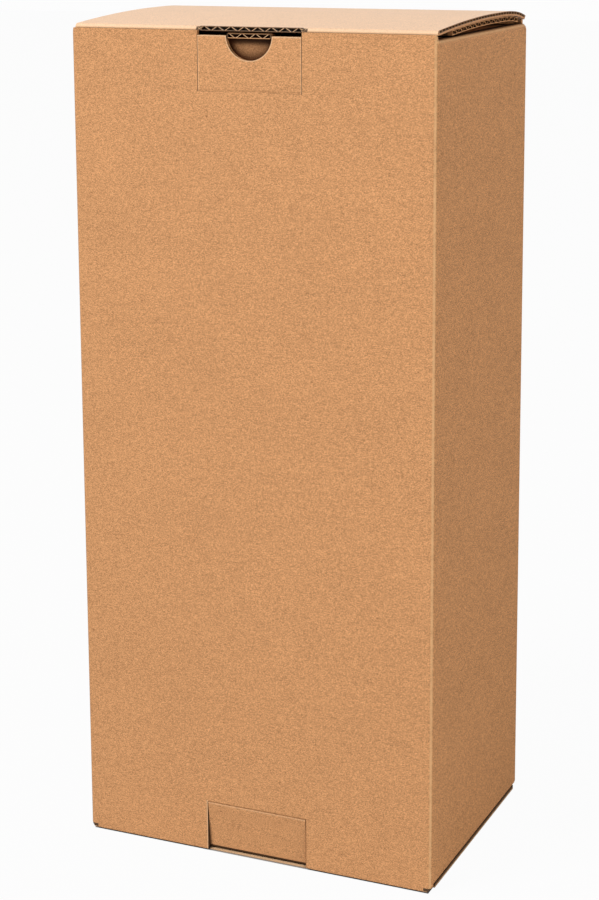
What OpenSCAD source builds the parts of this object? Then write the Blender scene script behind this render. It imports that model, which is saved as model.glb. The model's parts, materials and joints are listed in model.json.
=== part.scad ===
// Tall tuck-end carton, folded from one die-cut sheet of single-wall corrugated board.
// Origin at the middle of the base, +Z up, front panel facing -Y, millimetres.

/* [Box] */
// Outside width across the front panel
box_w = 172; // [140:1:220]
// Outside depth from the front panel to the back panel
box_d = 122; // [100:1:160]
// Height of the front panel's upper raw edge
front_top = 378.4; // [300:0.2:460]
// Height of the front panel's lower raw edge
front_bottom = 0.6; // [0.4:0.1:1.2]

/* [Board] */
// Thickness of the board, pressed a little by the cutting
board = 2.1; // [1.8:0.1:2.5]
// Thickness of each flat liner
liner = 0.3; // [0.25:0.05:0.5]
// Length of one wave of the fluted middle sheet
flute_pitch = 6.35; // [5:0.05:8]
// Width of a wave's flat crest
flute_crest = 0.6; // [0.5:0.1:1.4]
// Width that the fluted sheet takes along the wave
flute_web = 0.4; // [0.35:0.05:0.7]
// Depth to which the flutes stay open behind a raw edge
flute_depth = 14; // [11:0.5:20]
// Inside radius of a fold
fold_in = 0.3; // [0.2:0.05:0.5]
// Gap between two layers that lie on each other
layer_gap = 0.3; // [0.2:0.05:0.4]

/* [Lid] */
// Height of the lid's outer face at its front and back folds, above the front panel's edge
lid_fold_rise = 1.8; // [1.6:0.1:2.6]
// How far the lid bows up between its folds
lid_bow = 3; // [1:0.1:4]
// How far the top of the bow lies behind the middle
bow_back = 12; // [0:1:20]
// How far each side of the lid stays behind the side wall's face
lid_side_inset = 0.9; // [0.6:0.1:3]
// Depth of the open pockets along the lid's side edges
pocket_depth = 8; // [2:0.5:10]
// Height of these pockets
pocket_h = 0.95; // [0.6:0.05:1.1]
// Width of the bar left between two pockets
pocket_bar = 0.7; // [0.5:0.1:2]
// Length of the slit in the lid's front fold
slit_w = 52.4; // [51:0.2:60]
// Length over which the slit's raw edge is pinched together at each end
slit_pinch = 2.4; // [1.6:0.2:4]

/* [Tuck flap] */
// Height of the tuck flap that goes down behind the front panel
tuck_h = 38; // [30:1:46]
// How far each side of the tuck flap stays clear of the side wall
tuck_side_gap = 0.6; // [0.4:0.1:3]
// How far each side of the tuck flap draws in at its free edge
tuck_taper = 7; // [4:0.5:12]
// Radius of the tuck flap's free corners
tuck_corner_r = 12; // [8:1:16]
// Lean of the tuck flap away from the front panel
tuck_lean = 7; // [2:0.5:9]
// Depth of the recess that the slit leaves in the tuck flap
recess_h = 3.9; // [3.6:0.1:5]
// Width of the pull tongue that turns forward into the thumb notch
tongue_w = 20.6; // [16:0.2:20.8]
// How far the tongue's raw edge stays behind the front panel's face
tongue_back = 0.2; // [0.1:0.1:1]
// Gap between the tongue and the lid's raw edge above it
tongue_drop = 0.7; // [0.5:0.1:1]

/* [Lock tabs] */
// Width of the lock tabs
tab_w = 48.8; // [46:0.2:49.6]
// How far the tabs, the slits and the thumb notch lie to the right of the middle
tab_shift = 0.7; // [-2:0.1:2]
// Width of the die cut beside a lock tab
cut_w = 0.25; // [0.2:0.05:0.6]
// Distance from the front panel's upper edge down to the upper tab's crease
tab_crease_drop = 26.2; // [22:0.2:32]
// Distance from the front panel's upper edge down to the tab's free edge
tab_edge_drop = 2; // [1.6:0.1:3]
// Radius of the thumb notch
notch_r = 10.8; // [10.6:0.1:12]
// How far the middle of the notch lies above the tab's free edge
notch_lift = 0.2; // [0:0.05:0.5]
// Height of the lower tab's crease above the floor
low_tab_crease = 24; // [20:0.5:28]
// Depth of the pressed crease line that the lower tab leans from
crease_depth = 0.25; // [0.1:0.05:0.4]
// Width of that crease line
crease_w = 1; // [0.6:0.1:1.6]
// Lean of the lower tab, pushed into the bottom slit
low_tab_lean = 5.2; // [2:0.2:5.4]

/* [Dust flaps] */
// How far the right wall's top fold lies under the front panel's edge
right_fold_drop = 2.2; // [1.4:0.1:2.6]
// How far the left wall's top fold lies under the front panel's edge
left_fold_drop = 0.6; // [0.6:0.1:1]
// Reach of the short dust flaps from the wall's face
short_dust = 74; // [50:1:80]
// Distance from the long top dust flap's free edge to the right wall's face
long_dust_end = 1.5; // [1:0.5:10]
// Distance from a dust flap's front edge to the front panel's face
dust_front_inset = 22; // [20:0.2:30]
// Distance from a dust flap's rear edge to the back panel's face
dust_back_inset = 10; // [8:0.5:20]
// Height of the short dust flaps' sag at their free edge
dust_sag = 0.9; // [0.8:0.1:1.5]
// Depth of the bottom dust flaps' fold above the floor
low_dust_z = 2.3; // [2.2:0.1:3]

/* [Side joint] */
// Width of the glue flap behind the back panel
glue_w = 32; // [24:1:40]
// Slope drop at the glue flap's ends
glue_slope = 14; // [8:1:20]

/* [Bottom] */
// Gap between the bottom tuck flap and the front panel, held open by the lower tab
low_tuck_gap = 2; // [1.9:0.1:2.4]
// How far the bottom panel's raw edge stays behind the front face at the slit
lip_back = 1.1; // [0.5:0.1:1.4]
// Height to which that edge is crushed under the lower tab
lip_h = 0.5; // [0.4:0.1:1]
// Gap between the crushed edge and the lower tab's free edge
lip_gap = 0.75; // [0.3:0.05:1]

/* [Hidden] */
$fn = 48;
// How far a cut runs past the face that it starts from
cut_past = 1;
kraft = [0.79, 0.61, 0.42];
kraft_top = [0.86, 0.77, 0.64];

half_w = box_w / 2;
half_d = box_d / 2;
fold_out = fold_in + board;
corner_x = half_w - fold_out;
corner_y = half_d - fold_out;

// Heights of the folds
fold_z = front_top + lid_fold_rise;
right_fold_z = front_top - right_fold_drop;
left_fold_z = front_top - left_fold_drop;
tube_top = right_fold_z - fold_out;
tube_low = low_dust_z + fold_out;
lid_under_z = fold_z - board;

// The lid's front fold: the tuck flap turns about this line
tuck_face_y = -half_d + board + layer_gap;
tuck_axis_y = tuck_face_y + board;
lid_half = half_w - lid_side_inset;

// The lid's bow, measured from its folds
bow_y = bow_back;
bow_front = bow_y - tuck_axis_y;
bow_rear = corner_y - bow_y;
bow_steps = 30;
// Power of the curve before and behind the top of the bow: the rear falls late and steeply
front_curve = 1.8;
rear_curve = 4;
function bow(y) =
    lid_bow * (1 - (y < bow_y
        ? pow((bow_y - y) / bow_front, front_curve)
        : pow((y - bow_y) / bow_rear, rear_curve)));
bow_step = (corner_y - tuck_axis_y) / bow_steps;
function bow_station(i) = tuck_axis_y + bow_step * i;

// Upper lock tab
tab_crease_z = front_top - tab_crease_drop;
tab_top_z = front_top - tab_edge_drop;
hole_half = tab_w / 2 + cut_w;

// Long top dust flap: it rises from its fold and bows under the lid
long_x0 = -corner_x;
long_x1 = half_w - long_dust_end;
dust_y0 = -half_d + dust_front_inset;
dust_y1 = half_d - dust_back_inset;
dust_steps = 12;
dust_start_y = -half_d + 2 * board + low_tuck_gap + layer_gap + fold_in;
shoulder = 12;
dust_corner = 3;

// Corner cuts of the front panel's raw edges
top_corner = 0.4 * fold_out;
low_corner = 0.9 * fold_out;

// Bottom tuck flap and the tongue of the upper one
low_face_y = -half_d + board + low_tuck_gap;
low_tab_length = low_tab_crease - lip_h - lip_gap;
tuck_shoulder = 10;
hinge_gap = 0.1;
tongue_steps = 8;
tongue_rise = (board + tongue_drop - board * sin(tuck_lean)) / cos(tuck_lean);
tongue_reach = layer_gap - tongue_back + board * (1 - cos(tuck_lean)) + board
    + tongue_rise * sin(tuck_lean);

// Flute channels behind a raw edge that lies at y = 0 and faces -Y. The board's lower
// face is z = lift(x). The row is centred on x = 0 and fills the width w but for a liner.
module flutes(w, depth = flute_depth, lift = function(x) 0) {
    height = board - 2 * liner;
    base = flute_pitch - flute_crest - 2 * flute_web;
    side = w / 2 - liner;
    count = floor((side + base / 2 - liner) / flute_pitch * 2);
    for (i = [-count:count]) {
        x = i * flute_pitch / 2;
        up = abs(i) % 2 == 1;
        low_half = (up ? base : flute_crest) / 2;
        top_half = (up ? flute_crest : base) / 2;
        translate([0, depth, liner + lift(x)])
            rotate([90, 0, 0])
                linear_extrude(depth + cut_past)
                    intersection() {
                        polygon([
                            [x - low_half, 0],
                            [x + low_half, 0],
                            [x + top_half, height],
                            [x - top_half, height]
                        ]);
                        translate([-side, 0]) square([2 * side, height]);
                    }
    }
}

// Section of a fold: a bend of the board about its centre, between two angles
module bend(from, to, inner = fold_in, outer = fold_out) {
    reach = 2 * outer;
    middle = (from + to) / 2;
    intersection() {
        difference() {
            circle(outer);
            if (inner > 0) circle(inner);
        }
        polygon([
            [0, 0],
            [reach * cos(from), reach * sin(from)],
            [reach * cos(middle), reach * sin(middle)],
            [reach * cos(to), reach * sin(to)]
        ]);
    }
}

// Turns a section drawn in (y, z) into a prism along X, centred
module along_x(length) {
    rotate([90, 0, 90])
        translate([0, 0, -length / 2])
            linear_extrude(length) children();
}

// Turns a section drawn in (x, z) into a prism from y0 to y1
module along_y(y0, y1) {
    translate([0, y1, 0])
        rotate([90, 0, 0])
            linear_extrude(y1 - y0) children();
}

module rounded_plan(w, d, r) {
    union() {
        square([w - 2 * r, d], center = true);
        square([w, d - 2 * r], center = true);
        for (sx = [-1, 1], sy = [-1, 1])
            translate([sx * (w / 2 - r), sy * (d / 2 - r)]) circle(r);
    }
}

// Plan of the four walls, with the glued side joint at the rear left corner
module wall_plan() {
    difference() {
        rounded_plan(box_w, box_d, fold_out);
        rounded_plan(box_w - 2 * board, box_d - 2 * board, fold_in);
        translate([-half_w - cut_past, half_d - board - fold_out])
            square([fold_out + cut_past, fold_out + board + cut_past]);
    }
    translate([-half_w, half_d - board])
        square([fold_out, board]);
    translate([-corner_x, half_d - board - fold_out])
        bend(90, 180);
}

module glue_flap() {
    slope_x = -corner_x + fold_in;
    along_y(half_d - 2 * board, half_d - board)
        polygon([
            [-corner_x, tube_low],
            [slope_x, tube_low],
            [-half_w + glue_w, tube_low + glue_slope],
            [-half_w + glue_w, tube_top - glue_slope],
            [slope_x, tube_top],
            [-corner_x, tube_top]
        ]);
}

// Front panel above and below the tube, up to its raw edges, with its corners cut back
module front_ends() {
    intersection() {
        translate([0, 0, front_bottom])
            linear_extrude(front_top - front_bottom)
                intersection() {
                    wall_plan();
                    translate([-half_w, -half_d]) square([box_w, board]);
                }
        along_y(-half_d - cut_past, 0)
            polygon([
                [-half_w + low_corner, front_bottom],
                [half_w - low_corner, front_bottom],
                [half_w, front_bottom + low_corner],
                [half_w, tube_top + fold_out / 2],
                [half_w - top_corner, front_top],
                [-half_w + top_corner, front_top],
                [-half_w, tube_top + fold_out / 2],
                [-half_w, front_bottom + low_corner]
            ]);
    }
}

// Openings in the front panel that the two lock tabs are cut from, and the open flutes of
// its upper and lower raw edges on both sides of the tabs
module front_cuts() {
    past_board = board + cut_past + layer_gap / 2;
    translate([tab_shift - hole_half, -half_d - cut_past, tab_crease_z])
        cube([2 * hole_half, past_board, front_top - tab_crease_z + cut_past]);
    translate([tab_shift - hole_half, -half_d - cut_past, front_bottom - cut_past])
        cube([2 * hole_half, past_board, low_tab_crease - front_bottom + cut_past]);
    for (s = [-1, 1]) {
        side_w = corner_x - hole_half - s * tab_shift;
        side_x = tab_shift + s * (hole_half + side_w / 2);
        translate([side_x, -half_d, front_top])
            rotate([-90, 0, 0]) flutes(side_w);
        translate([side_x, -half_d + board, front_bottom])
            rotate([90, 0, 0]) flutes(side_w);
    }
}

// Back panel above and below the tube, with its half of the lid's fold and the bottom fold
module back_ends() {
    translate([-corner_x, half_d - board, tube_top])
        cube([2 * corner_x, board, fold_z - fold_out - tube_top]);
    translate([0, corner_y, fold_z - fold_out])
        along_x(2 * corner_x) bend(0, 45);
    translate([-corner_x, half_d - board, fold_out])
        cube([2 * corner_x, board, tube_low - fold_out]);
    translate([0, corner_y, fold_out])
        along_x(2 * corner_x) bend(-90, 0);
}

// Fold at the end of a side wall that stands on the right, as a section in (x, z) about the
// bend's centre. It turns inward from the wall between two angles.
module side_fold(z, from, to) {
    translate([corner_x, 0, z])
        along_y(-half_d + board, corner_y) bend(from, to);
}

// Outline of a dust flap seen from above: a shoulder at the fold, then set back at the
// front and the back. Its fold is at x = 0 and it reaches along -X.
module dust_plan(reach) {
    polygon([
        [0, dust_start_y],
        [-shoulder, dust_y0],
        [-reach + dust_corner, dust_y0],
        [-reach, dust_y0 + dust_corner],
        [-reach, dust_y1 - dust_corner],
        [-reach + dust_corner, dust_y1],
        [-shoulder, dust_y1],
        [0, corner_y]
    ]);
}

// Short dust flap on the right wall. Its lower face lies at the height z from the centre of
// its fold, and it goes down by the angle sag.
module short_dust_flap(fold_centre, z, sag) {
    reach = short_dust - fold_out;
    translate([corner_x, 0, fold_centre])
        rotate([0, -sag, 0])
            translate([0, 0, z])
                difference() {
                    linear_extrude(board) dust_plan(reach);
                    translate([-reach, (dust_y0 + dust_y1) / 2, 0])
                        rotate([0, 0, -90]) flutes(dust_y1 - dust_y0 - 2 * dust_corner);
                }
}

// Height of the long dust flap's upper face
function long_share(x) = (x - long_x0) / (long_x1 - long_x0);
function long_top(x, y) =
    left_fold_z + long_share(x) * (lid_under_z - layer_gap + bow(y) - left_fold_z);

// Front edge of the long dust flap: a shoulder at the fold, then set back
function long_front(x) =
    x < long_x0 + shoulder ? dust_start_y + (dust_y0 - dust_start_y) * (x - long_x0) / shoulder : dust_y0;
function long_rear(x) =
    x < long_x0 + shoulder ? corner_y + (dust_y1 - corner_y) * (x - long_x0) / shoulder : dust_y1;

// Long dust flap, hinged on the left wall, as one sheet that rises from its straight fold
// to its bowed free edge
module long_dust_flap() {
    xs = [long_x0, long_x0 + shoulder, long_x1];
    rows = dust_steps + 1;
    last = len(xs) - 1;
    points = [
        for (x = xs, low = [board, 0], i = [0:dust_steps])
            let (y = long_front(x) + (long_rear(x) - long_front(x)) * i / dust_steps)
                [x, y, long_top(x, y) - low]
    ];
    function at(ix, top, iy) = (ix * 2 + top) * rows + iy;
    function quad(a, b, c, d) = [[a, b, c], [a, c, d]];
    faces = concat(
        [for (k = [0:last - 1], i = [0:dust_steps - 1]) each
            quad(at(k, 1, i), at(k, 1, i + 1), at(k + 1, 1, i + 1), at(k + 1, 1, i))],
        [for (k = [0:last - 1], i = [0:dust_steps - 1]) each
            quad(at(k, 0, i), at(k + 1, 0, i), at(k + 1, 0, i + 1), at(k, 0, i + 1))],
        [for (i = [0:dust_steps - 1]) each
            quad(at(last, 0, i), at(last, 1, i), at(last, 1, i + 1), at(last, 0, i + 1))],
        [for (i = [0:dust_steps - 1]) each
            quad(at(0, 0, i), at(0, 0, i + 1), at(0, 1, i + 1), at(0, 1, i))],
        [for (k = [0:last - 1]) each
            quad(at(k, 0, 0), at(k, 1, 0), at(k + 1, 1, 0), at(k + 1, 0, 0))],
        [for (k = [0:last - 1]) each
            quad(at(k, 0, dust_steps), at(k + 1, 0, dust_steps), at(k + 1, 1, dust_steps), at(k, 1, dust_steps))]
    );
    middle = (dust_y0 + dust_y1) / 2;
    difference() {
        polyhedron(points, faces);
        translate([long_x1, middle, 0])
            rotate([0, 0, 90])
                flutes(dust_y1 - dust_y0, 3 * board, function(x) long_top(long_x1, middle + x) - board);
    }
}

// Bottom panel, its front fold and the tuck flap that stands behind the front panel. At
// the slit the panel runs on to a raw lip, crushed flat under the lower tab.
module bottom_closure() {
    low_axis_y = low_face_y + fold_out;
    crush_y = -half_d + low_tab_length * sin(low_tab_lean) + board * cos(low_tab_lean);
    translate([-lid_half, low_axis_y, 0])
        cube([2 * lid_half, corner_y - low_axis_y, board]);
    difference() {
        translate([0, low_axis_y, fold_out])
            along_x(2 * (half_w - board - tuck_side_gap)) bend(180, 270);
        translate([tab_shift - slit_w / 2, low_face_y - cut_past, -cut_past])
            cube([slit_w, fold_out + 2 * cut_past, fold_out + 2 * cut_past]);
    }
    translate([tab_shift, 0, 0])
        along_x(tab_w)
            polygon([
                [-half_d + lip_back, 0],
                [low_axis_y, 0],
                [low_axis_y, board],
                [crush_y + board - lip_h, board],
                [crush_y, lip_h],
                [-half_d + lip_back, lip_h]
            ]);
    translate([0, low_face_y + board, fold_out])
        mirror([0, 0, 1])
            difference() {
                along_y(-board, 0) tuck_outline(0);
                tuck_edge_flutes();
            }
}

// Lower lock tab: it leans in from its pressed crease, over the bottom panel's lip
module low_lock_tab() {
    down = [sin(low_tab_lean), -cos(low_tab_lean)];
    across = [cos(low_tab_lean), sin(low_tab_lean)];
    end = low_tab_length * down;
    translate([tab_shift, -half_d, low_tab_crease])
        difference() {
            along_x(tab_w)
                polygon([[crease_depth, 0], [board, 0], end + board * across, end, crease_w / 2 * down]);
            rotate([low_tab_lean, 0, 0])
                translate([0, board, -low_tab_length])
                    rotate([90, 0, 0]) flutes(tab_w);
        }
}

// Stretch of the left wall between the tube and its top fold, which is the higher of the two
module left_rise() {
    translate([-half_w, -half_d + board, tube_top])
        cube([board, corner_y + half_d - board, left_fold_z - fold_out - tube_top]);
}

module carton() {
    sag = asin(dust_sag / (short_dust - fold_out));
    color(kraft) {
        difference() {
            union() {
                translate([0, 0, tube_low])
                    linear_extrude(tube_top - tube_low) wall_plan();
                front_ends();
            }
            front_cuts();
        }
        glue_flap();
        back_ends();
        side_fold(tube_top, 0, 90 + sag);
        short_dust_flap(tube_top, fold_in, sag);
        left_rise();
        mirror([1, 0, 0]) side_fold(left_fold_z - fold_out, 0, 90);
        long_dust_flap();
        for (s = [0, 1])
            mirror([s, 0, 0]) {
                side_fold(tube_low, -90, 0);
                short_dust_flap(tube_low, -fold_out, 0);
            }
        bottom_closure();
        low_lock_tab();
    }
}

// Section of the lid across the box: bowed sheet, rounded front fold and half of the back fold
module lid_section() {
    stations = [for (i = [0:bow_steps]) bow_station(i)];
    polygon(concat(
        [for (y = stations) [y, fold_z + bow(y)]],
        [for (i = [bow_steps:-1:0]) [stations[i], lid_under_z + bow(stations[i])]]
    ));
    translate([tuck_axis_y, lid_under_z])
        bend(90, 180, 0, board);
    translate([corner_y, fold_z - fold_out])
        bend(45, 90);
}

// Open pockets of the fluted sheet in the lid's right side edge, one to each step of the bow
module edge_pockets() {
    floor_z = lid_under_z + board - liner - pocket_h;
    translate([lid_half - pocket_depth, 0, 0])
        rotate([90, 0, 90])
            linear_extrude(pocket_depth + cut_past)
                for (i = [0:bow_steps - 1]) {
                    y0 = bow_station(i) + pocket_bar / 2;
                    y1 = bow_station(i + 1) - pocket_bar / 2;
                    rise = (bow(bow_station(i + 1)) - bow(bow_station(i))) / bow_step;
                    z0 = floor_z + bow(bow_station(i)) + rise * pocket_bar / 2;
                    z1 = floor_z + bow(bow_station(i + 1)) - rise * pocket_bar / 2;
                    polygon([[y0, z0], [y1, z1], [y1, z1 + pocket_h], [y0, z0 + pocket_h]]);
                }
}

// Outline of the raw edge that the slit leaves at the lid's front, pinched at both ends
module slit_edge() {
    full = slit_w / 2 - slit_pinch;
    base = slit_w / 2 - slit_pinch / 3;
    tip_z = board / 2;
    polygon([
        [-base, 0],
        [base, 0],
        [slit_w / 2, tip_z],
        [full, board],
        [-full, board],
        [-slit_w / 2, tip_z]
    ]);
}

module lid() {
    color(kraft_top)
        difference() {
            union() {
                along_x(2 * lid_half) lid_section();
                translate([tab_shift, 0, lid_under_z])
                    along_y(tuck_face_y, tuck_axis_y) slit_edge();
            }
            translate([tab_shift, tuck_face_y, lid_under_z])
                flutes(slit_w - 2 * slit_pinch, board);
            for (s = [0, 1]) mirror([s, 0, 0]) edge_pockets();
        }
}

// Outline of a tuck flap: x across and z down from its fold line, with the recess that the
// slit leaves at the fold
module tuck_outline(top) {
    top_half = half_w - board - tuck_side_gap;
    low_half = top_half - tuck_taper;
    difference() {
        hull() {
            translate([-top_half, -tuck_shoulder]) square([2 * top_half, tuck_shoulder + top]);
            for (s = [-1, 1])
                translate([s * (low_half - tuck_corner_r), -tuck_h + tuck_corner_r])
                    circle(tuck_corner_r);
        }
        translate([tab_shift - slit_w / 2, -recess_h]) square([slit_w, recess_h + cut_past]);
    }
}

// Open flutes of a tuck flap's free edge, for a flap that fills y from -board to 0
module tuck_edge_flutes() {
    straight = 2 * (half_w - board - tuck_side_gap - tuck_taper - tuck_corner_r);
    translate([0, 0, -tuck_h])
        rotate([90, 0, 0]) flutes(straight);
}

module tuck_flap() {
    color(kraft)
        translate([0, tuck_axis_y, lid_under_z])
            rotate([tuck_lean, 0, 0]) {
                difference() {
                    along_y(-board, 0) tuck_outline(-hinge_gap);
                    tuck_edge_flutes();
                }
                translate([tab_shift, -board, -tongue_rise]) tongue();
            }
}

// Pull tongue: it rises out of the tuck flap, turns forward and ends in a raw edge
module tongue() {
    root = recess_h - tongue_rise + fold_out;
    turn = (90 - tuck_lean) / tongue_steps;
    low_tip = tongue_reach * [-cos(tuck_lean), sin(tuck_lean)];
    difference() {
        along_x(tongue_w)
            polygon(concat(
                [[0, -root], [board, -root]],
                [for (i = [0:tongue_steps]) board * [cos(i * turn), sin(i * turn)]],
                [low_tip + board * [sin(tuck_lean), cos(tuck_lean)], low_tip, [0, 0]]
            ));
        rotate([-tuck_lean, 0, 0])
            translate([0, -tongue_reach, 0]) flutes(tongue_w, board);
    }
}

// Upper lock tab with its thumb notch, cut from the front panel
module lock_tab() {
    height = tab_top_z - tab_crease_z - hinge_gap;
    color(kraft)
        translate([tab_shift, -half_d, 0])
            difference() {
                translate([-tab_w / 2, 0, tab_crease_z + hinge_gap])
                    cube([tab_w, board, height]);
                translate([0, -cut_past, tab_top_z + notch_lift])
                    rotate([-90, 0, 0]) cylinder(r = notch_r, h = board + 2 * cut_past);
                translate([0, 0, tab_top_z])
                    rotate([-90, 0, 0]) flutes(tab_w);
            }
}

carton();
lid();
tuck_flap();
lock_tab();
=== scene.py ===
"""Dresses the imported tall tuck-end carton: its kraft board, its folds and the studio around it."""

import json
import math

import bpy
from mathutils import Matrix, Vector


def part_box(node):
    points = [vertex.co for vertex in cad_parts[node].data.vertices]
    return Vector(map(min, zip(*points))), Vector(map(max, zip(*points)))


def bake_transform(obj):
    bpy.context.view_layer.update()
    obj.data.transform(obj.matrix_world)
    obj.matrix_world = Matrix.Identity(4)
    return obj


MM = 0.001


def mm(*lengths):
    """Lengths in millimetres, as metres."""
    return tuple(length * MM for length in lengths)


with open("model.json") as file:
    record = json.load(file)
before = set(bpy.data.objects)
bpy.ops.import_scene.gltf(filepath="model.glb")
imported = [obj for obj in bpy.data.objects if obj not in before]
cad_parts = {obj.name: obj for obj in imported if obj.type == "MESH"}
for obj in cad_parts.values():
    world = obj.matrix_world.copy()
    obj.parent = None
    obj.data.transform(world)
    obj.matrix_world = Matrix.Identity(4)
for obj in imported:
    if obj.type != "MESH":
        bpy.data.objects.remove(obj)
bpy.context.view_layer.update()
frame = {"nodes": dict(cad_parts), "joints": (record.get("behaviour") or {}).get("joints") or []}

carton_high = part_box("carton")[1]
tuck_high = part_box("tuck_flap")[1]
tab_low, tab_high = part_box("lock_tab")
joints = {joint["name"]: joint for joint in frame["joints"]}

BOARD = tab_high.y - tab_low.y
FOLD_IN = 0.3 * MM  # radius of a fold on its inner side
FOLD_OUT = FOLD_IN + BOARD


def hinge_line(name):
    """A point on a joint's axis, at the middle of the carton."""
    return Vector(joints[name]["pos_m"])


# Camera

PHOTO_WIDE, PHOTO_HIGH = 599, 900  # px
AXIS_X, AXIS_Y = 270, 285  # px from the photograph's top left corner to its optical axis
FOCAL = 2076.9  # px
SENSOR = 36.0
NEAREST = 0.05
CAMERA_PLACE = Vector(mm(375.74, -866.23, 436.82))
YAW, PITCH, ROLL = (math.radians(angle) for angle in (24.441, 10.731, -0.455))


def make_camera():
    """The photograph's camera, solved from the carton's outer corners."""
    lens = bpy.data.cameras.new("camera")
    lens.sensor_width = SENSOR
    lens.lens = FOCAL / PHOTO_HIGH * SENSOR
    lens.shift_x = (PHOTO_WIDE / 2 - AXIS_X) / PHOTO_HIGH
    lens.shift_y = (AXIS_Y - PHOTO_HIGH / 2) / PHOTO_HIGH
    lens.clip_start = NEAREST
    camera = bpy.data.objects.new("camera", lens)
    camera.matrix_world = (
        Matrix.Translation(CAMERA_PLACE)
        @ Matrix.Rotation(YAW, 4, "Z")
        @ Matrix.Rotation(math.pi / 2 - PITCH, 4, "X")
        @ Matrix.Rotation(ROLL, 4, "Z")
    )
    bpy.context.scene.collection.objects.link(camera)
    bpy.context.scene.camera = camera


# Shader maths


def linear(red, green, blue):
    """A colour as the eye reads it, 0 to 255, as the linear values that shaders take."""
    parts = [part / 255 for part in (red, green, blue)]
    return tuple(p / 12.92 if p < 0.04045 else ((p + 0.055) / 1.055) ** 2.4 for p in parts)


class Wire:
    """A shader socket that takes part in Python arithmetic."""

    def __init__(self, shader, socket):
        self.shader, self.socket = shader, socket

    def math(self, operation, *others):
        values = dict(enumerate((self, *others)))
        return self.shader.node("ShaderNodeMath", {"operation": operation}, values)

    def __add__(self, other):
        return self.math("ADD", other)

    def __sub__(self, other):
        return self.math("SUBTRACT", other)

    def __rsub__(self, other):
        return self.shader.node("ShaderNodeMath", {"operation": "SUBTRACT"}, {0: other, 1: self})

    def __mul__(self, other):
        return self.math("MULTIPLY", other)

    def __pow__(self, other):
        return self.math("POWER", other)

    def __abs__(self):
        return self.math("ABSOLUTE")

    __radd__ = __add__
    __rmul__ = __mul__


class Shader:
    """The nodes of a material or a world. node() adds one, its settings before its sockets."""

    def __init__(self, owner, output="ShaderNodeOutputMaterial"):
        self.owner, self.output = owner, output
        owner.use_nodes = True
        self.tree = owner.node_tree
        self.tree.nodes.clear()

    def node(self, kind, settings=None, inputs=None, output=0):
        made = self.tree.nodes.new(kind)
        for key, value in (settings or {}).items():
            setattr(made, key, value)
        for key, value in (inputs or {}).items():
            if isinstance(value, Wire):
                self.tree.links.new(value.socket, made.inputs[key])
            else:
                made.inputs[key].default_value = value
        return Wire(self, made.outputs[output]) if made.outputs else None

    def surface(self, closure):
        self.node(self.output, {}, {"Surface": closure})
        return self.owner


def spread(wire, low, high):
    """0 at low, 1 at high, and even between them."""
    return wire.shader.node(
        "ShaderNodeMapRange",
        {"clamp": True},
        {"Value": wire, "From Min": low, "From Max": high},
    )


def above(wire, level, soft=0.1 * MM):
    """1 above the level and 0 below it."""
    return spread(wire, level - soft, level + soft)


def below(wire, level, soft=0.1 * MM):
    """1 below the level and 0 above it."""
    return spread(wire, level + soft, level - soft)


def between(wire, low, high):
    """1 between two levels and 0 outside them."""
    return above(wire, low) * below(wire, high)


def line(wire, middle, half):
    """1 on a line where the value is near middle, and 0 at half from it."""
    return spread(abs(wire - middle), half, half * 0.4)


def either(first, *others):
    """The strongest of some masks."""
    for other in others:
        first = first.math("MAXIMUM", other)
    return first


# Kraft board

KRAFT = linear(208, 152, 104)
# dark flecks of the grain, and the colour of painted shade on the far folds, the cut lines and the
# creases
KRAFT_DARK = linear(108, 66, 36)
# pale fibres of the grain and of the flutes' web, and the colour of painted highlights on cut edges
# and on the lower tab's crease
KRAFT_LIGHT = linear(240, 203, 162)
# painted highlight on the folds that face the light
KRAFT_RUBBED = linear(240, 192, 140)
# painted glare: the paler colour of the lid's outer side
LID_PALE = linear(234, 194, 158)
# dark raw board edges, partly their own colour and partly painted shade; also the painted shade
# beside the lower tab's cut and along the sides' low edges
RAW_EDGE = linear(52, 33, 20)
# painted shade: the colour that hollows, gaps and shaded lines are darkened towards
HOLLOW = linear(30, 16, 9)
INNER_SHADE = linear(58, 24, 5)

LINER = 0.3 * MM
OVERLAP = 0.1 * MM  # how far an edge's tint runs past it
TAB_MIDDLE = (tab_low.x + tab_high.x) / 2
TAB_HALF = (tab_high.x - tab_low.x) / 2
NOTCH_R, NOTCH_LIFT = mm(10.8, 0.2)
SLIT_HALF, SLIT_PINCH = mm(26.2, 2.4)
SIDE_FOLD = 376.2 * MM  # height of the right side's top fold
RIM = 372 * MM  # above it, a gap is open to the eye

OFF_GRID = (0.37, 0.37, 0.37)  # keeps the walls off the noise's own grid, where it is flat
FACING = (0.8, 0.1)  # a normal's part along an axis where a face counts as turned that way
# how far a point looks for its own paper when painted shade darkens its hollows
HOLLOW_REACH = 2.5 * MM
AIR_SAMPLES = 6


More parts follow.
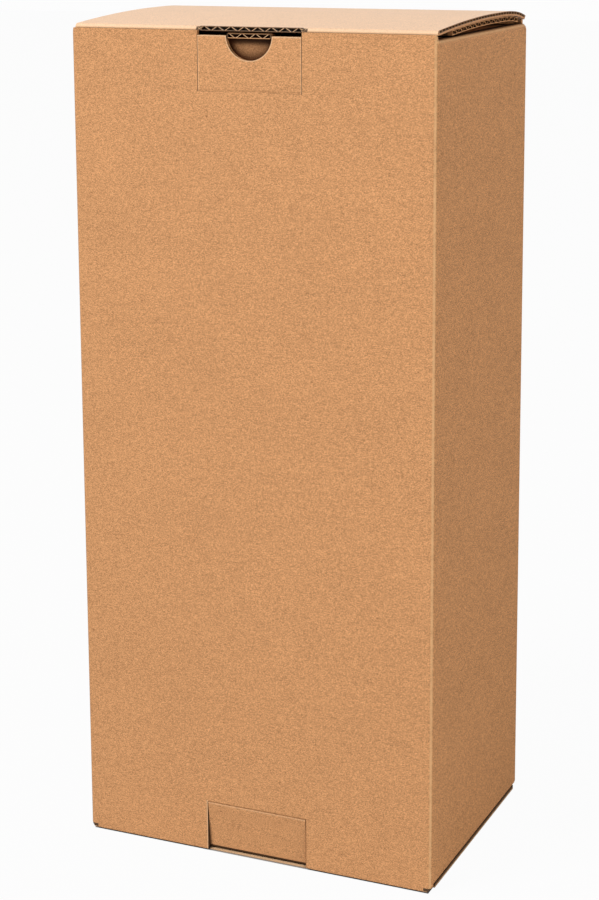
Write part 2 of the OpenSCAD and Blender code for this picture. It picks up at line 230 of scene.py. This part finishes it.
class Board(Shader):
    """Kraft liner: a fine fibre speckle, soft clouds, pale fibres, dark flecks, and painted shade in
    hollows and in gaps beside other pieces. Subclasses add what one piece has."""

    GLOSS, SHEEN, SHEEN_ROUGHNESS = 0.1, 0.0, 0.35
    ROUGHNESS, ROUGHNESS_SPREAD = 0.6, 0.3
    BUMP, BUMP_HEIGHT, FIBRE_BUMP = 0.4, 0.08 * MM, 0.6
    SPECKLE_DEPTH, MOTTLE_DEPTH, FIBRE_DEPTH, CLOUD_DEPTH = 2.2, 0.2, 0.2, 0.14
    SHADE = HOLLOW
    OPEN_AIR, SHUT_AIR = 0.78, 0.25  # the share of open air where the painted shade is nil, and where it is full
    SIDE_STRIP = 6 * MM  # inside either side's face
    OUTER_LINER, SLIT_DEPTH = mm(1.4, 5)  # behind the front

    def __init__(self, name):
        super().__init__(bpy.data.materials.new(name))
        self.place = self.node("ShaderNodeTexCoord", output="Object")
        facing = self.node("ShaderNodeTexCoord", output="Normal")
        self.x, self.y, self.z, self.right, self.back, self.up = (
            self.node("ShaderNodeSeparateXYZ", {}, {"Vector": source}, output=axis)
            for source in (self.place, facing)
            for axis in "XYZ"
        )
        self.from_middle = abs(self.x - TAB_MIDDLE)
        self.from_front = self.y + carton_high.y
        self.from_right = carton_high.x - self.x
        self.from_side = carton_high.x - abs(self.x)
        self.speckle = self.noise((1.802, 1.295, 3.6), 2.0, 0.75)
        self.mottle = self.noise((0.35, 0.3, 0.6), 2.0, 0.6)
        self.fibres = self.noise((0.10, 0.10, 1.6))
        self.clouds = self.noise((0.03, 0.03, 0.05), 3.0, 0.6)
        self.flecks = self.noise((0.45, 0.45, 0.8), 0.0)
        self.fray = self.noise((2.2, 2.2, 3.0), 2.0, 0.7)

    def noise(self, scale, detail=2.0, rough=0.5):
        """Noise whose scale is in cycles per millimetre along X, Y and Z."""
        across = self.node(
            "ShaderNodeMapping",
            {},
            {"Vector": self.place, "Location": OFF_GRID, "Scale": [s / MM for s in scale]},
        )
        return self.node(
            "ShaderNodeTexNoise",
            {},
            {"Vector": across, "Scale": 1.0, "Detail": detail, "Roughness": rough},
        )

    def from_notch(self, depth):
        """Distance from the thumb notch's middle, at a depth behind the lock tab's face."""
        middle = (TAB_MIDDLE, tab_low.y + depth, tab_high.z + NOTCH_LIFT)
        return self.node(
            "ShaderNodeVectorMath",
            {"operation": "DISTANCE"},
            {0: self.place, 1: middle},
            output="Value",
        )

    def closeness(self, reach, own_piece):
        """How shut in a point is by paper within reach, of its own piece or of any."""
        open_air = self.node(
            "ShaderNodeAmbientOcclusion",
            {"samples": AIR_SAMPLES, "only_local": own_piece},
            {"Distance": reach},
            output="AO",
        )
        return spread(open_air, self.OPEN_AIR, self.SHUT_AIR)

    def tinted(self, colour, mask, tint):
        return self.node(
            "ShaderNodeMix",
            {"data_type": "RGBA"},
            {"Factor": mask, 6: colour, 7: (*tint, 1.0)},
            output=2,
        )

    def paper(self):
        """The colour of the bare liner, before its grain."""
        return KRAFT

    def grain_share(self):
        """How strong the grain is."""
        return 1.0

    def tints(self):
        """Masks, the strength of each, and the colours that they bring, drawn over the grain."""
        return []

    def gap_reach(self):
        """How near another piece must be for painted shade on this one."""
        return HOLLOW_REACH

    def gap_depth(self):
        """How strong the painted shade in a gap beside another piece gets. Only gaps that show on
        the closed carton get painted shade, so that the paper inside is clean when it opens."""
        return either(
            below(self.from_side, self.SIDE_STRIP),
            below(self.from_front, self.OUTER_LINER),
            below(self.from_front, self.SLIT_DEPTH) * above(self.z, RIM),
        )

    def raw_edge(self, low, high, under_tint):
        """Tints of a fluted raw edge that faces forward: its two liners as lines, the upper one
        dark, partly the cut paper's own colour and partly painted shade, and a pale web.
        """
        level, soft = FACING
        front = below(self.back, -level, soft)
        return [
            (front * between(self.z, low - OVERLAP, low + LINER), 0.85, under_tint),
            (front * between(self.z, high - LINER, high + OVERLAP), 0.85, RAW_EDGE),
            (front * between(self.z, low + LINER, high - LINER), 0.6, KRAFT_LIGHT),
        ]

    def colour(self):
        """The paper with its grain, its specks, this piece's tints, and painted shade in its hollows
        and gaps.
        """
        share = self.grain_share()
        grain = (
            (self.speckle - 0.5) * self.SPECKLE_DEPTH
            + (self.mottle - 0.5) * self.MOTTLE_DEPTH
            + (self.fibres - 0.5) * self.FIBRE_DEPTH
            + (self.clouds - 0.5) * self.CLOUD_DEPTH
        )
        colour = self.node(
            "ShaderNodeVectorMath",
            {"operation": "SCALE"},
            {0: self.paper(), "Scale": 1.0 + grain * share},
        )
        specks = [
            (spread(self.speckle, 0.60, 0.76), share * 0.3, KRAFT_LIGHT),
            (spread(self.speckle, 0.42, 0.26), share * 0.3, KRAFT_DARK),
            (spread(self.flecks, 0.83, 0.89), share * 0.6, KRAFT_DARK),
        ]
        for mask, strength, tint in specks + self.tints():
            colour = self.tinted(colour, mask * strength, tint)
        # painted shade, by how shut in a point is: in its own piece's hollows, and in gaps beside
        # other pieces
        hollow = self.closeness(HOLLOW_REACH, own_piece=True)
        gap = self.closeness(self.gap_reach(), own_piece=False) * self.gap_depth()
        return self.tinted(colour, either(hollow, gap), self.SHADE)

    def finish(self):
        """The finished material."""
        height = self.speckle + self.fibres * self.FIBRE_BUMP
        bump = self.node(
            "ShaderNodeBump",
            {},
            {"Strength": self.BUMP, "Distance": self.BUMP_HEIGHT, "Height": height},
        )
        return self.surface(
            self.node(
                "ShaderNodeBsdfPrincipled",
                {},
                {
                    "Base Color": self.colour(),
                    "Roughness": self.ROUGHNESS + (self.speckle - 0.5) * self.ROUGHNESS_SPREAD,
                    "Specular IOR Level": self.GLOSS,
                    "Sheen Weight": self.SHEEN,
                    "Sheen Roughness": self.SHEEN_ROUGHNESS,
                    "Normal": bump,
                },
            )
        )


class CartonBoard(Board):
    """The carton's walls: a painted highlight along the front right fold and the right side's top
    fold, painted shade on the far folds, a painted highlight and painted shade beside the lower
    tab's cuts, and a crease across that tab drawn as painted shade over a painted highlight."""

    SIDE_GRAIN = 0.3  # how much stronger the grain is on the sides
    RIM_REACH = 4.5 * MM  # how much further the painted shade reaches in a gap under the lid than in others
    # A strip under the lid's right side that is partly spared the painted shade: its depth, its
    # height and its share
    UNDER_LID, OVER_FOLD, UNDER_LID_SPARED = 3.5 * MM, 0.4 * MM, 0.45

    # How deep under each face a painted highlight on a fold begins, and how deep it is full
    RIGHT_RUB, FRONT_RUB, TOP_RUB = mm(1.7, 1.0), mm(1.05, 0.7), mm(1.4, 0.9)
    # How far the far folds' lines of painted shade reach from the two faces that meet there
    FRONT_LEFT, BACK_RIGHT = mm(0.8, 1.7), mm(1.6, 0.9)
    # How wide the sides' low edges are, and how high their line of painted shade begins and ends
    BASE_STRIP, BASE_LINE, BASE_TOP = mm(4, 0.8, 2.3)
    # How deep behind the front the panel's face, the leaning tab's face and the cut reach
    PANEL_FACE, TAB_FACE, CUT_FACE = mm(0.8, 3, 4)
    # How far beside the tab each line is, and its half width
    LEFT_FRAY, LEFT_CUT, RIGHT_CUT = mm(0.5, 0.35), mm(0.2, 0.6), mm(0.35, 0.3)
    # How high each line is, and its half width
    CREASE_DARK, CREASE_LIGHT = mm(24.2, 0.45), mm(23.4, 0.4)
    CUT_TOP, LIP_TOP = mm(24.6, 0.6)
    TAB_END = mm(1.15, 2.1)  # heights between which painted shade darkens the tab's end
    NICK_TOP, NICK_LOW, NICK_WIDE, NICK_HALF = mm(375.2, 371.5, 0.5, 0.5)

    def grain_share(self):
        return 1.0 + abs(self.right) * self.SIDE_GRAIN

    def gap_reach(self):
        return above(self.z, RIM) * self.RIM_REACH + HOLLOW_REACH

    def gap_depth(self):
        over_fold = above(self.z, SIDE_FOLD + self.OVER_FOLD)
        under_lid = over_fold * below(self.from_right, self.UNDER_LID)
        return super().gap_depth() * (1.0 - under_lid * self.UNDER_LID_SPARED)

    def fold_tints(self):
        """Painted highlights on the folds that face the light, their strength broken up by noise,
        and painted shade on the folds at the outline's two ends.
        """
        wear = spread(self.noise((0.3, 0.3, 0.25)), 0.3, 0.6) * 0.35 + 0.5
        right, front, top = self.from_right, self.from_front, SIDE_FOLD - self.z
        upright = spread(right, *self.RIGHT_RUB) * spread(front, *self.FRONT_RUB)
        side_top = spread(right, *self.TOP_RUB) * spread(top, *self.TOP_RUB)
        left, back = self.x + carton_high.x, carton_high.y - self.y
        far_left = below(left, self.FRONT_LEFT[0]) * below(front, self.FRONT_LEFT[1])
        far_right = below(right, self.BACK_RIGHT[0]) * below(back, self.BACK_RIGHT[1])
        return [
            (either(upright, side_top), wear, KRAFT_RUBBED),
            (either(far_left, far_right), 0.5, KRAFT_DARK),
        ]

    def base_tints(self):
        """The low edges of the two sides, with a line of painted shade over a pale one."""
        strip = below(self.from_side, self.BASE_STRIP) * below(self.z, self.BASE_TOP)
        return [(strip, 0.5, KRAFT_LIGHT), (strip * above(self.z, self.BASE_LINE), 0.9, RAW_EDGE)]

    def low_tab_tints(self):
        """The lower tab's cuts with a painted highlight beside the left one and painted shade in
        them, its crease as painted shade over a painted highlight, painted shade at its end, and the
        pale lip below.
        """
        cuts = below(self.z, self.CUT_TOP)
        panel = below(self.from_front, self.PANEL_FACE) * cuts
        beside = below(self.from_front, self.CUT_FACE) * cuts * above(self.right, *FACING)
        tab = below(self.from_front, self.TAB_FACE) * below(self.from_middle, TAB_HALF)
        fray, cut, right_cut = (
            line(self.x, TAB_MIDDLE + side * (TAB_HALF + place), half)
            for side, (place, half) in (
                (-1, self.LEFT_FRAY),
                (-1, self.LEFT_CUT),
                (1, self.RIGHT_CUT),
            )
        )
        # painted highlight beside the left cut, painted shade on its side face and in the right cut,
        # the crease as painted shade over a painted highlight, and painted shade at the tab's end
        return [
            (panel * fray, 0.5, KRAFT_LIGHT),
            (beside * cut, 0.9, RAW_EDGE),
            (panel * right_cut, 0.7, KRAFT_DARK),
            (tab * line(self.z, *self.CREASE_DARK), 0.45, KRAFT_DARK),
            (tab * line(self.z, *self.CREASE_LIGHT), 0.25, KRAFT_LIGHT),
            (tab * between(self.z, *self.TAB_END), 0.9, HOLLOW),
            (tab * below(self.z, self.LIP_TOP), 0.7, KRAFT_LIGHT),
        ]

    def nick_tints(self):
        """A small slanting nick at the top of the front right fold."""
        slant = line(self.z - self.from_front, self.NICK_TOP, self.NICK_HALF)
        at_fold = above(self.z, self.NICK_LOW) * below(self.from_right, self.NICK_WIDE)
        return [(slant * at_fold, 0.5, KRAFT_DARK)]

    def tints(self):
        return self.fold_tints() + self.base_tints() + self.low_tab_tints() + self.nick_tints()


class TabBoard(Board):
    """The upper lock tab, with a painted highlight along its cut outline, broken up by noise, and a
    faint crease line of painted shade.
    """

    TAB_FACE = 0.3 * MM  # behind the front
    # how far in from the tab's sides, top and notch the painted highlight reaches
    SIDE_FRAY, TOP_FRAY, NOTCH_FRAY = mm(0.35, 0.45, 0.4)
    CREASE = mm(0.6, 0.5)  # the faint crease line of painted shade: above the tab's low end, and its half width

    def tints(self):
        side = above(self.from_middle, TAB_HALF - self.SIDE_FRAY)
        top = above(self.z, tab_high.z - self.TOP_FRAY)
        notch = below(self.from_notch(0), NOTCH_R + self.NOTCH_FRAY)
        frayed = below(self.from_front, self.TAB_FACE) * spread(self.fray, 0.3, 0.55)
        rise, half = self.CREASE
        return [
            (either(side * 0.6, top, notch) * frayed, 0.75, KRAFT_LIGHT),
            (line(self.z, tab_low.z + rise, half), 0.2, KRAFT_DARK),
        ]


class TuckBoard(Board):
    """The tuck flap, with the raw edge of its tongue. Painted shade darkens it where it shows
    through the notch and the slit, at the ends of its tongue's face and under its tongue.
    """

    SHADE = INNER_SHADE
    OPEN_AIR, SHUT_AIR = 1.0, 0.48
    DEEP_REACH, TONGUE_REACH = mm(12, 2)
    TONGUE_FRONT, TONGUE_FACE = mm(1.5, 1)  # behind the front
    TONGUE_LOW, TONGUE_HIGH, TONGUE_HALF, TONGUE_END = mm(375.3, 377.4, 10.3, 0.45)
    NOTCH_SHADE = mm(2.5, 0.5)  # past the notch, where the shade begins and where it is full
    SLIT_SHADE = 0.5 * MM  # past the slit's end
    UNDER_TONGUE = mm(3, 1.2)  # below the tongue, where its shade begins and where it is full

    def gap_reach(self):
        tongue = below(self.from_front, self.TONGUE_FRONT)
        return self.DEEP_REACH - tongue * (self.DEEP_REACH - self.TONGUE_REACH)

    # painted shade where the flap shows through the notch and the slit
    def gap_depth(self):
        begin, full = (NOTCH_R + past for past in self.NOTCH_SHADE)
        in_notch = spread(self.from_notch(BOARD), begin, full)
        in_slit = above(self.z, RIM) * below(self.from_middle, SLIT_HALF + self.SLIT_SHADE)
        return either(in_notch, in_slit)

    def tints(self):
        ends = above(self.from_middle, self.TONGUE_HALF - self.TONGUE_END)
        ends = ends * below(self.from_front, self.TONGUE_FACE)
        begin, full = (self.TONGUE_LOW - drop for drop in self.UNDER_TONGUE)
        under = spread(self.z, begin, full) * below(self.z, self.TONGUE_LOW)
        under = under * above(self.from_front, self.TONGUE_FACE)
        under = under * below(self.from_middle, self.TONGUE_HALF)
        # painted shade at the ends of the tongue's face and under the tongue
        return self.raw_edge(self.TONGUE_LOW, self.TONGUE_HIGH, KRAFT) + [
            (ends, 0.8, HOLLOW),
            (under, 0.85, HOLLOW),
        ]


class LidBoard(Board):
    """The lid, its outer side tinted paler with a painted glare of light caught at a flat angle,
    with the raw edges of the slit and of its right side."""

    GLOSS, SHEEN = 0.25, 0.2
    SMOOTHER = 0.55  # how much of the grain the outer side lacks
    CRUSH_BEGIN = 0.6 * MM  # before the pinched end
    CRUSH_DEPTH = 3.4 * MM  # behind the front
    BOW, BOW_TOP = mm(3, 12)  # the bow's height, and the Y of its highest line
    FRONT_CURVE, REAR_CURVE = 1.8, 4  # powers of its fall to the front and to the rear
    EDGE_BAND = 1.25 * MM  # depth of the painted shade band under the bowed top, at the right side

    # painted glare: the outer side's paper tinted pale
    def paper(self):
        return self.tinted((*KRAFT, 1.0), spread(self.up, 0.25, 0.6), LID_PALE)

    def grain_share(self):
        return 1.0 - spread(self.up, 0.1, 0.6) * self.SMOOTHER

    def from_top(self):
        """Height over the lid's bowed top, which is highest behind the middle."""
        forward = spread(self.y, self.BOW_TOP, hinge_line("tuck_fold").y)
        rearward = spread(self.y, self.BOW_TOP, carton_high.y - FOLD_OUT)
        fall = forward**self.FRONT_CURVE + rearward**self.REAR_CURVE
        return self.z - hinge_line("lid_hinge").z + fall * self.BOW - self.BOW

    def tints(self):
        # the slit's pinched ends: crushed fibres, pale ones and dark ones, the dark ones partly
        # painted shade
        pinched = SLIT_HALF - SLIT_PINCH
        crushed = spread(self.from_middle, pinched - self.CRUSH_BEGIN, pinched)
        crushed = crushed * below(self.from_middle, SLIT_HALF)
        crushed = crushed * below(self.from_front, self.CRUSH_DEPTH)
        # painted shade on the right side's raw edge, under the bowed top
        side_band = above(self.right, *FACING) * above(self.from_top(), -self.EDGE_BAND)
        return self.raw_edge(hinge_line("tuck_fold").z, hinge_line("lid_hinge").z, RAW_EDGE) + [
            (crushed * spread(self.fray, 0.60, 0.50), 0.9, HOLLOW),
            (crushed * spread(self.fray, 0.60, 0.68), 0.6, KRAFT_LIGHT),
            (side_band, 0.5, HOLLOW),
        ]


# Fold cores

CORE_TURNS = 16
BACK_SLICE, TUCK_SLICE = mm(0.04, 0.2)


def evenly_turned(share):
    """Where along a blend a point turns by the given share of the joint's angle."""
    return 0.5 - math.sin(math.asin(1 - 2 * share) / 3)


def fold_core(name, x_low, x_high, outer, inner, depth, parent, child):
    """Board at a fold, cut into slices across its depth. It is a thin slice between two bodies, from
    the outer liner to the inner one, and depth is the vector from the parent to the child."""
    middle = (outer + inner) / 2
    middle.x = (x_low + x_high) / 2
    sides = (Vector((x_high - x_low, 0, 0)), inner - outer, depth)
    bpy.ops.object.select_all(action="DESELECT")
    bpy.ops.mesh.primitive_cube_add(size=1)
    core = bpy.context.object
    core.name = core.data.name = name
    core.matrix_world = Matrix.Translation(middle) @ Matrix(sides).transposed().to_4x4()
    bpy.ops.object.transform_apply(location=True, rotation=True, scale=True)
    bpy.ops.object.mode_set(mode="EDIT")
    for turn in range(1, CORE_TURNS):
        bpy.ops.mesh.select_all(action="SELECT")
        bpy.ops.mesh.bisect(
            plane_co=middle + depth * (evenly_turned(turn / CORE_TURNS) - 0.5),
            plane_no=depth.normalized(),
            threshold=1e-9,
        )
    bpy.ops.mesh.select_all(action="SELECT")
    bpy.ops.mesh.normals_make_consistent(inside=False)
    bpy.ops.object.mode_set(mode="OBJECT")
    middle - depth / 2
    middle + depth / 2
    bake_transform(core)
    return core


def make_fold_cores(board):
    """The board inside the lid's back fold, its front fold on both sides of the slit, and the
    lock tab's crease."""
    apex = hinge_line("lid_hinge")
    mitre = Vector((0, -1, -1)).normalized()
    back_half = carton_high.x - FOLD_OUT
    corner = FOLD_OUT * math.sqrt(2)
    cores = [
        fold_core(
            "lid_back_fold",
            -back_half,
            back_half,
            apex + mitre * (corner - FOLD_OUT),
            apex + mitre * (corner - FOLD_IN),
            Vector((0, -1, 1)).normalized() * BACK_SLICE,
            "carton",
            "lid",
        )
    ]
    fold = hinge_line("tuck_fold") - Vector((0, 0, TUCK_SLICE / 2))
    for side, name in ((-1, "tuck_fold_left"), (1, "tuck_fold_right")):
        cores.append(
            fold_core(
                name,
                *sorted((TAB_MIDDLE + side * SLIT_HALF, side * tuck_high.x)),
                fold - Vector((0, BOARD, 0)),
                fold,
                Vector((0, 0, -TUCK_SLICE)),
                "lid",
                "tuck_flap",
            )
        )
    hinge_z = hinge_line("lock_tab_hinge").z
    crease = Vector((0, tab_low.y, (hinge_z + tab_low.z) / 2))
    cores.append(
        fold_core(
            "lock_tab_crease",
            tab_low.x,
            tab_high.x,
            crease,
            crease + Vector((0, BOARD, 0)),
            Vector((0, 0, tab_low.z - hinge_z)),
            "carton",
            "lock_tab",
        )
    )
    for core in cores:
        core.data.materials.append(board)


# Studio

WHITE = (1, 1, 1, 1)
FLOOR_GREY = (0.35, 0.35, 0.35, 1)
FLOOR_SIZE = 12
FLOOR_DROP = 0.2 * MM
FLOOR_SEEN = 0.965  # how much of the floor that the camera sees is plain white
SHADOW_INSET = mm(1.8, 0.4)  # inside the carton's sides, and inside its front and back
AMBIENT, BACKDROP = 0.32, 0.98


def make_floor():
    """A plain pale floor that the camera sees as white, and that keeps a soft shadow."""
    bpy.ops.object.select_all(action="DESELECT")
    bpy.ops.mesh.primitive_plane_add(size=FLOOR_SIZE, location=(0, 0, -FLOOR_DROP))
    floor = bpy.context.object
    floor.name = "floor"
    shader = Shader(bpy.data.materials.new("floor_white"))
    seen = shader.node("ShaderNodeLightPath", output="Is Camera Ray")
    place = shader.node("ShaderNodeTexCoord", output="Object")
    x, y = (
        abs(shader.node("ShaderNodeSeparateXYZ", {}, {"Vector": place}, output=axis))
        for axis in "XY"
    )
    inset_x, inset_y = SHADOW_INSET
    beside = either(x - (carton_high.x - inset_x), y - (carton_high.y - inset_y))
    clear = beside.math("GREATER_THAN", 0.0)
    plain = shader.node("ShaderNodeBsdfDiffuse", {}, {"Color": FLOOR_GREY})
    white = shader.node("ShaderNodeEmission", {}, {"Color": WHITE, "Strength": 1.0})
    share = seen * clear * FLOOR_SEEN
    mixed = shader.node("ShaderNodeMixShader", {}, {"Fac": share, 1: plain, 2: white})
    floor.data.materials.append(shader.surface(mixed))


def make_world():
    """Even light from all round, which the camera and reflections see as white."""
    shader = Shader(bpy.data.worlds.new("studio"), output="ShaderNodeOutputWorld")
    camera, glossy = (
        shader.node("ShaderNodeLightPath", output=ray) for ray in ("Is Camera Ray", "Is Glossy Ray")
    )
    strength = either(camera, glossy) * (BACKDROP - AMBIENT) + AMBIENT
    light = shader.node("ShaderNodeBackground", {}, {"Color": WHITE, "Strength": strength})
    bpy.context.scene.world = shader.surface(light)


def make_lamp(name, place, size, power, colour):
    """A soft square lamp that faces the middle of the carton."""
    lamp = bpy.data.lights.new(name, "AREA")
    lamp.shape = "SQUARE"
    lamp.size = size
    lamp.energy = power
    lamp.color = colour
    holder = bpy.data.objects.new(name, lamp)
    aim = (Vector((0, 0, carton_high.z / 2)) - Vector(place)).to_track_quat("-Z", "Y")
    holder.matrix_world = Matrix.Translation(place) @ aim.to_matrix().to_4x4()
    bpy.context.scene.collection.objects.link(holder)


# Assembly

make_camera()
boards = {
    "carton": CartonBoard("wall_kraft"),
    "tuck_flap": TuckBoard("tuck_kraft"),
    "lock_tab": TabBoard("tab_kraft"),
    "lid": LidBoard("lid_kraft"),
}
krafts = {node: board.finish() for node, board in boards.items()}
for node, kraft in krafts.items():
    for slot in frame["nodes"][node].material_slots:
        slot.material = kraft
make_fold_cores(krafts["tuck_flap"])
make_floor()
make_world()
make_lamp("key_lamp", place=(-1.45, -2.05, 2.55), size=1.2, power=110, colour=(1, 1, 1))
make_lamp("side_lamp", place=(1.9, -0.6, 0.45), size=1.0, power=16, colour=(1.0, 0.93, 0.84))
bpy.context.scene.view_settings.view_transform = "Standard"
